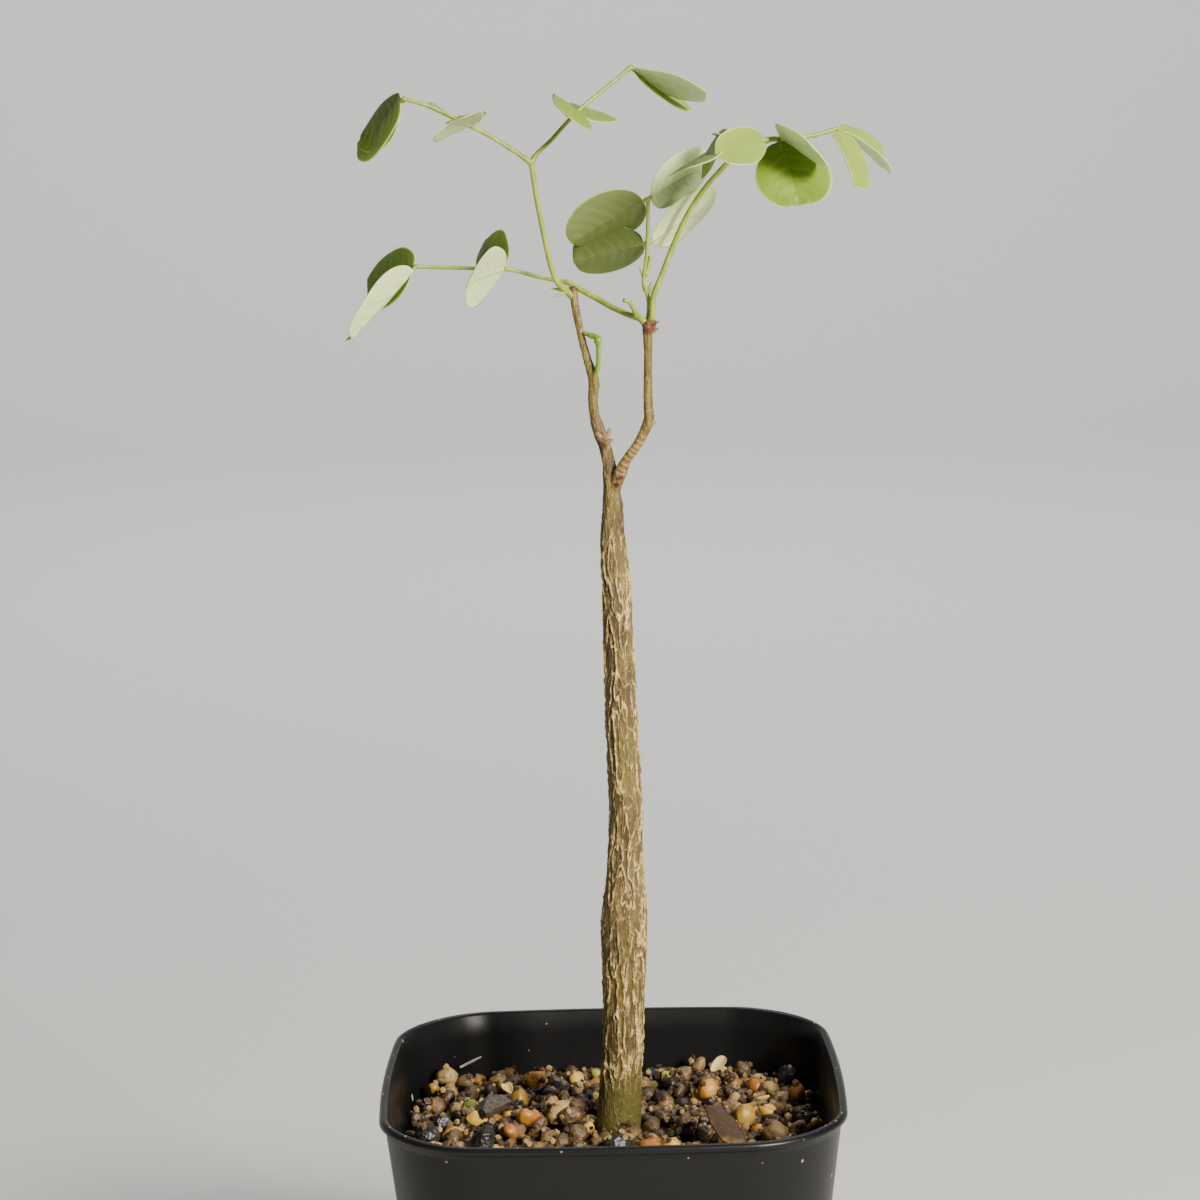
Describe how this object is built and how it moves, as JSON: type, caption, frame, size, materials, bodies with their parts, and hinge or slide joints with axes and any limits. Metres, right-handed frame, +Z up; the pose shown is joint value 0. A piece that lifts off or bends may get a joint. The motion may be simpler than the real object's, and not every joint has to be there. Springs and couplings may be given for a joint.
{
  "type": "potted delonix pumila",
  "caption": "Young potted Delonix pumila: an upright woody trunk with corky net bark, two thin shoots, small compound leaves, granular soil and a square nursery pot.",
  "frame": {"origin": "middle of the pot's base, on the surface it stands on", "axes": "+Z up along the trunk; -Y towards the viewer's side, +X to the viewer's right"},
  "size_m": [0.0871, 0.0748, 0.2291],
  "materials": {
    "pot_plastic": "semi-gloss black, dusty",
    "granules": "rough mixed tan, amber, brown and black granules",
    "bark": "olive brown with a raised pale corky net",
    "leaf_green": "satin mid green above, pale glaucous green below",
    "shoot_green": "satin yellow green",
    "dead_leaf": "dull dark brown",
    "charcoal": "dull black"
  },
  "bodies": {
    "root": {"pot": "pot_plastic", "soil": "granules", "trunk": "bark", "leaf_a": "leaf_green", "leaf_b": "leaf_green", "leaf_c": "leaf_green", "leaf_d": "leaf_green", "hooked_shoot": "shoot_green", "dead_leaf_flake": "dead_leaf", "charcoal_chip": "charcoal"}
  },
  "joints": []
}
